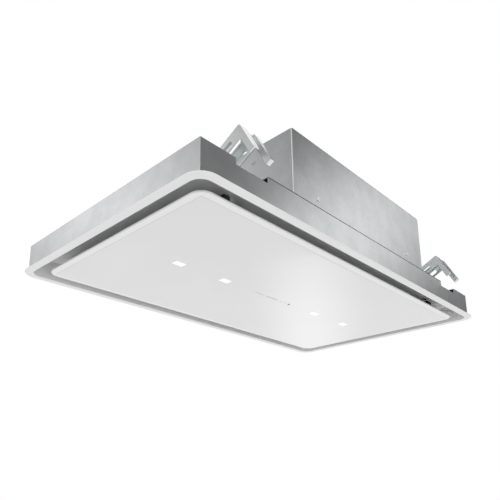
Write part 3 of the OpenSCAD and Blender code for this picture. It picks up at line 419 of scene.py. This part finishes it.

# Cover panel: a pane of toughened glass, lacquered white on its back. Its polished face mirrors
# the room faintly. A paler border is painted bevel reflection; its thin dark line, painted shade.
white_glass, tree, shader, place = new_material(
    "white-lacquered glass", Roughness=0.12, Specular_IOR_Level=0.5, Coat_Weight=0.3)
cloud_size = 0.25
cloud = add(tree, "ShaderNodeTexNoise", {"Vector": place, "Scale": 1 / cloud_size, "Detail": 2.0})
tint = add(tree, "ShaderNodeMix", {
    "Factor": cloud.outputs["Fac"], 6: srgb("#dfdfdf"), 7: srgb("#e6e6e6")}, data_type="RGBA")
glass_low, glass_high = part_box("cover_glass")
# Painted reflection and shade: the border band is painted paler, with a darker line at its inside.
border, fold_shade_width = 0.013, 0.0012
axes = add(tree, "ShaderNodeSeparateXYZ", {"Vector": place})
insides = []
for axis, half in (("X", glass_high.x), ("Y", glass_high.y)):
    reach = add(tree, "ShaderNodeMath", {0: axes.outputs[axis]}, operation="ABSOLUTE")
    insides.append(add(tree, "ShaderNodeMath", {0: reach.outputs[0], 1: half - border},
                       operation="SUBTRACT").outputs[0])
outward = add(tree, "ShaderNodeMath", {0: insides[0], 1: insides[1]}, operation="MAXIMUM")
on_painted_sheen = add(tree, "ShaderNodeMath", {0: outward.outputs[0], 1: 0.0},
                operation="GREATER_THAN")
past_fold_shade = add(tree, "ShaderNodeMath", {0: outward.outputs[0], 1: fold_shade_width},
                operation="GREATER_THAN")
# Darker grey: painted shade of the bevel's fold line. Paler grey: painted reflection on the border.
line = add(tree, "ShaderNodeMix", {
    "Factor": past_fold_shade.outputs[0], 6: srgb("#cdcdcd"), 7: srgb("#ececec")}, data_type="RGBA")
face = add(tree, "ShaderNodeMix", {
    "Factor": on_painted_sheen.outputs[0], 6: tint.outputs[2], 7: line.outputs[2]}, data_type="RGBA")
tree.links.new(face.outputs[2], shader.inputs["Base Color"])
wear(white_glass, "cover_glass")

# Edge of the cover glass: ground round and polished after the pane was cut.
# Its near-white colour, paler than the glass, is a painted highlight: a fine bright line all round.
rim_radius, rim_corner = 0.0009, 0.022
rim = bead((0, 0, (glass_low.z + glass_high.z) / 2), glass_high.x - glass_low.x - rim_radius,
           glass_high.y - glass_low.y - rim_radius, rim_corner, rim_radius)
# Painted highlight: the edge is coloured near white, paler than the glass face.
polished = speckled("glass edge painted highlight", "#f1f2f2", "#f6f7f7", spot_size=0.025, detail=2.0,
                    Roughness=0.15)
settle(rim, "glass_edge_painted_highlight", "panel", polished)

# Touch marks, printed on the face of the glass: two slots, two dots and a dark sensor window in a
# halo. They are wordless, and stand about a tenth of a millimetre proud of the glass.
ink_grain, print_proud, window_proud = 0.000667, 0.00008, 0.00016


def mark(name, x_low, x_high, width, finish, proud=print_proud):
    """A printed mark with round ends, from one x to the other on the middle line of the glass."""
    bpy.ops.object.select_all(action="DESELECT")
    bpy.ops.mesh.primitive_cylinder_add(vertices=48, radius=width / 2, depth=2 * proud,
                                        location=((x_low + x_high) / 2, 0, 0))
    piece = bpy.context.object
    for end in (1, -1):
        for vertex in piece.data.vertices:
            vertex.select = (vertex.co.x >= 0) == (end > 0)
        for part in [*piece.data.edges, *piece.data.polygons]:
            part.select = False
        bpy.ops.object.mode_set(mode="EDIT")
        bpy.ops.transform.translate(value=(end * (x_high - x_low - width) / 2, 0, 0))
        bpy.ops.object.mode_set(mode="OBJECT")
    edge = piece.modifiers.new("edge", "BEVEL")
    edge.width = proud / 2
    edge.limit_method = "ANGLE"
    return settle(piece, name, "panel", finish)


def ink(name, dark, light, rough=0.4):
    """A screen-printed ink, with a grain too fine to see."""
    return speckled(name, dark, light, spot_size=ink_grain, detail=2.0, Roughness=rough)


pale_ink = ink("pale ink", "#cfcac2", "#d6d2ca")
grey_ink = ink("grey ink", "#9b9c9e", "#a6a7a9")
dot_ink = ink("dot ink", "#a4a5a7", "#b0b1b3")
bright_ink = ink("bright ink", "#fafafa", "#ffffff")
dark_window = ink("dark sensor window", "#2e3033", "#3a3c3f", rough=0.15)
mark("mark_pale_slot", 0.032, 0.060, 0.0034, pale_ink)
mark("mark_grey_slot", -0.013, 0.026, 0.0020, grey_ink)
mark("mark_dot_near", -0.0262, -0.0218, 0.0030, dot_ink)
mark("mark_dot_far", -0.0402, -0.0358, 0.0030, dot_ink)
mark("mark_halo", -0.0590, -0.0450, 0.0100, bright_ink)
mark("mark_sensor", -0.0560, -0.0480, 0.0056, dark_window, proud=window_proud)

# Lamp lenses: frosted plastic windows that stand in the openings of the glass.
# They are lit from behind, so they are the brightest spots of the panel.
frosted = speckled("frosted lamp lens", "#d5d7d2", "#e6e8e2", spot_size=0.001667, detail=2.0,
                   Roughness=0.35, Emission_Color=srgb("#fffffa"), Emission_Strength=0.34)
wear(frosted, *[f"lamp_lens_{i}" for i in (1, 2, 3, 4)])

# Room: a pale floor far below the ceiling piece, and an even white sky that lights it softly.
# Three large cards with a soft bright patch stand round it. Only what shines mirrors them: they
# stay out of the picture, light nothing and throw no shadow.
floor_drop, floor_size, card_distance = 1.3, 30, 3
bpy.ops.object.select_all(action="DESELECT")
bpy.ops.mesh.primitive_plane_add(size=floor_size, location=(0, 0, -floor_drop))
floor = bpy.context.object
floor.name = "floor"
floor_paint = new_material("matt floor", Roughness=0.9, Base_Color=srgb("#f4f4f4"))[0]
floor.data.materials.append(floor_paint)


def card(name, towards, size, centre, reach, low, high):
    """A card that faces the hood and glows, low at its rim and high in the middle of its patch."""
    cloth, tree, shader, place = new_material(
        f"{name} cloth", Roughness=1.0, Base_Color=srgb("#000000"),
        Emission_Color=srgb("#ffffff"))
    patch = add(tree, "ShaderNodeMapping", {
        "Vector": place, "Location": (-centre[0] / reach[0], -centre[1] / reach[1], 0),
        "Scale": (1 / reach[0], 1 / reach[1], 1)})
    glow = add(tree, "ShaderNodeTexGradient", {"Vector": patch.outputs["Vector"]},
               gradient_type="SPHERICAL")
    level = add(tree, "ShaderNodeMapRange", {
        "Value": glow.outputs["Fac"], "To Min": low, "To Max": high},
        interpolation_type="SMOOTHSTEP")
    tree.links.new(level.outputs["Result"], shader.inputs["Emission Strength"])
    cloth.cycles.emission_sampling = "NONE"
    away = Vector(towards).normalized()
    bpy.ops.object.select_all(action="DESELECT")
    bpy.ops.mesh.primitive_plane_add(
        size=1, location=card_distance * away,
        rotation=(-away).to_track_quat("Z", "Y").to_euler())
    piece = bpy.context.object
    piece.name = name
    piece.scale = (size[0], size[1], 1)
    bpy.ops.object.transform_apply(location=False, rotation=False, scale=True)
    piece.data.materials.append(cloth)
    piece.visible_camera = piece.visible_diffuse = piece.visible_shadow = False


card("card_behind", towards=(-0.78, 0.45, 0.44), size=(5.2, 4.2), centre=(0.28, -0.02),
     reach=(0.95, 0.85), low=0.17, high=1.32)
card("card_beside", towards=(0.567, -0.677, 0.47), size=(5.0, 4.2), centre=(-0.05, -0.1),
     reach=(1.3, 1.1), low=0.34, high=1.18)
card("card_below", towards=(-0.80, -0.53, -0.27), size=(1.6, 1.6), centre=(0, -0.25),
     reach=(0.5, 1.2), low=0.9, high=1.5)

world = bpy.data.worlds.new("soft room")
bpy.context.scene.world = world
world.use_nodes = True
background = world.node_tree.nodes["Background"]
background.inputs["Color"].default_value = srgb("#ffffff")
background.inputs["Strength"].default_value = 1.0

bpy.context.scene.view_settings.view_transform = "Standard"
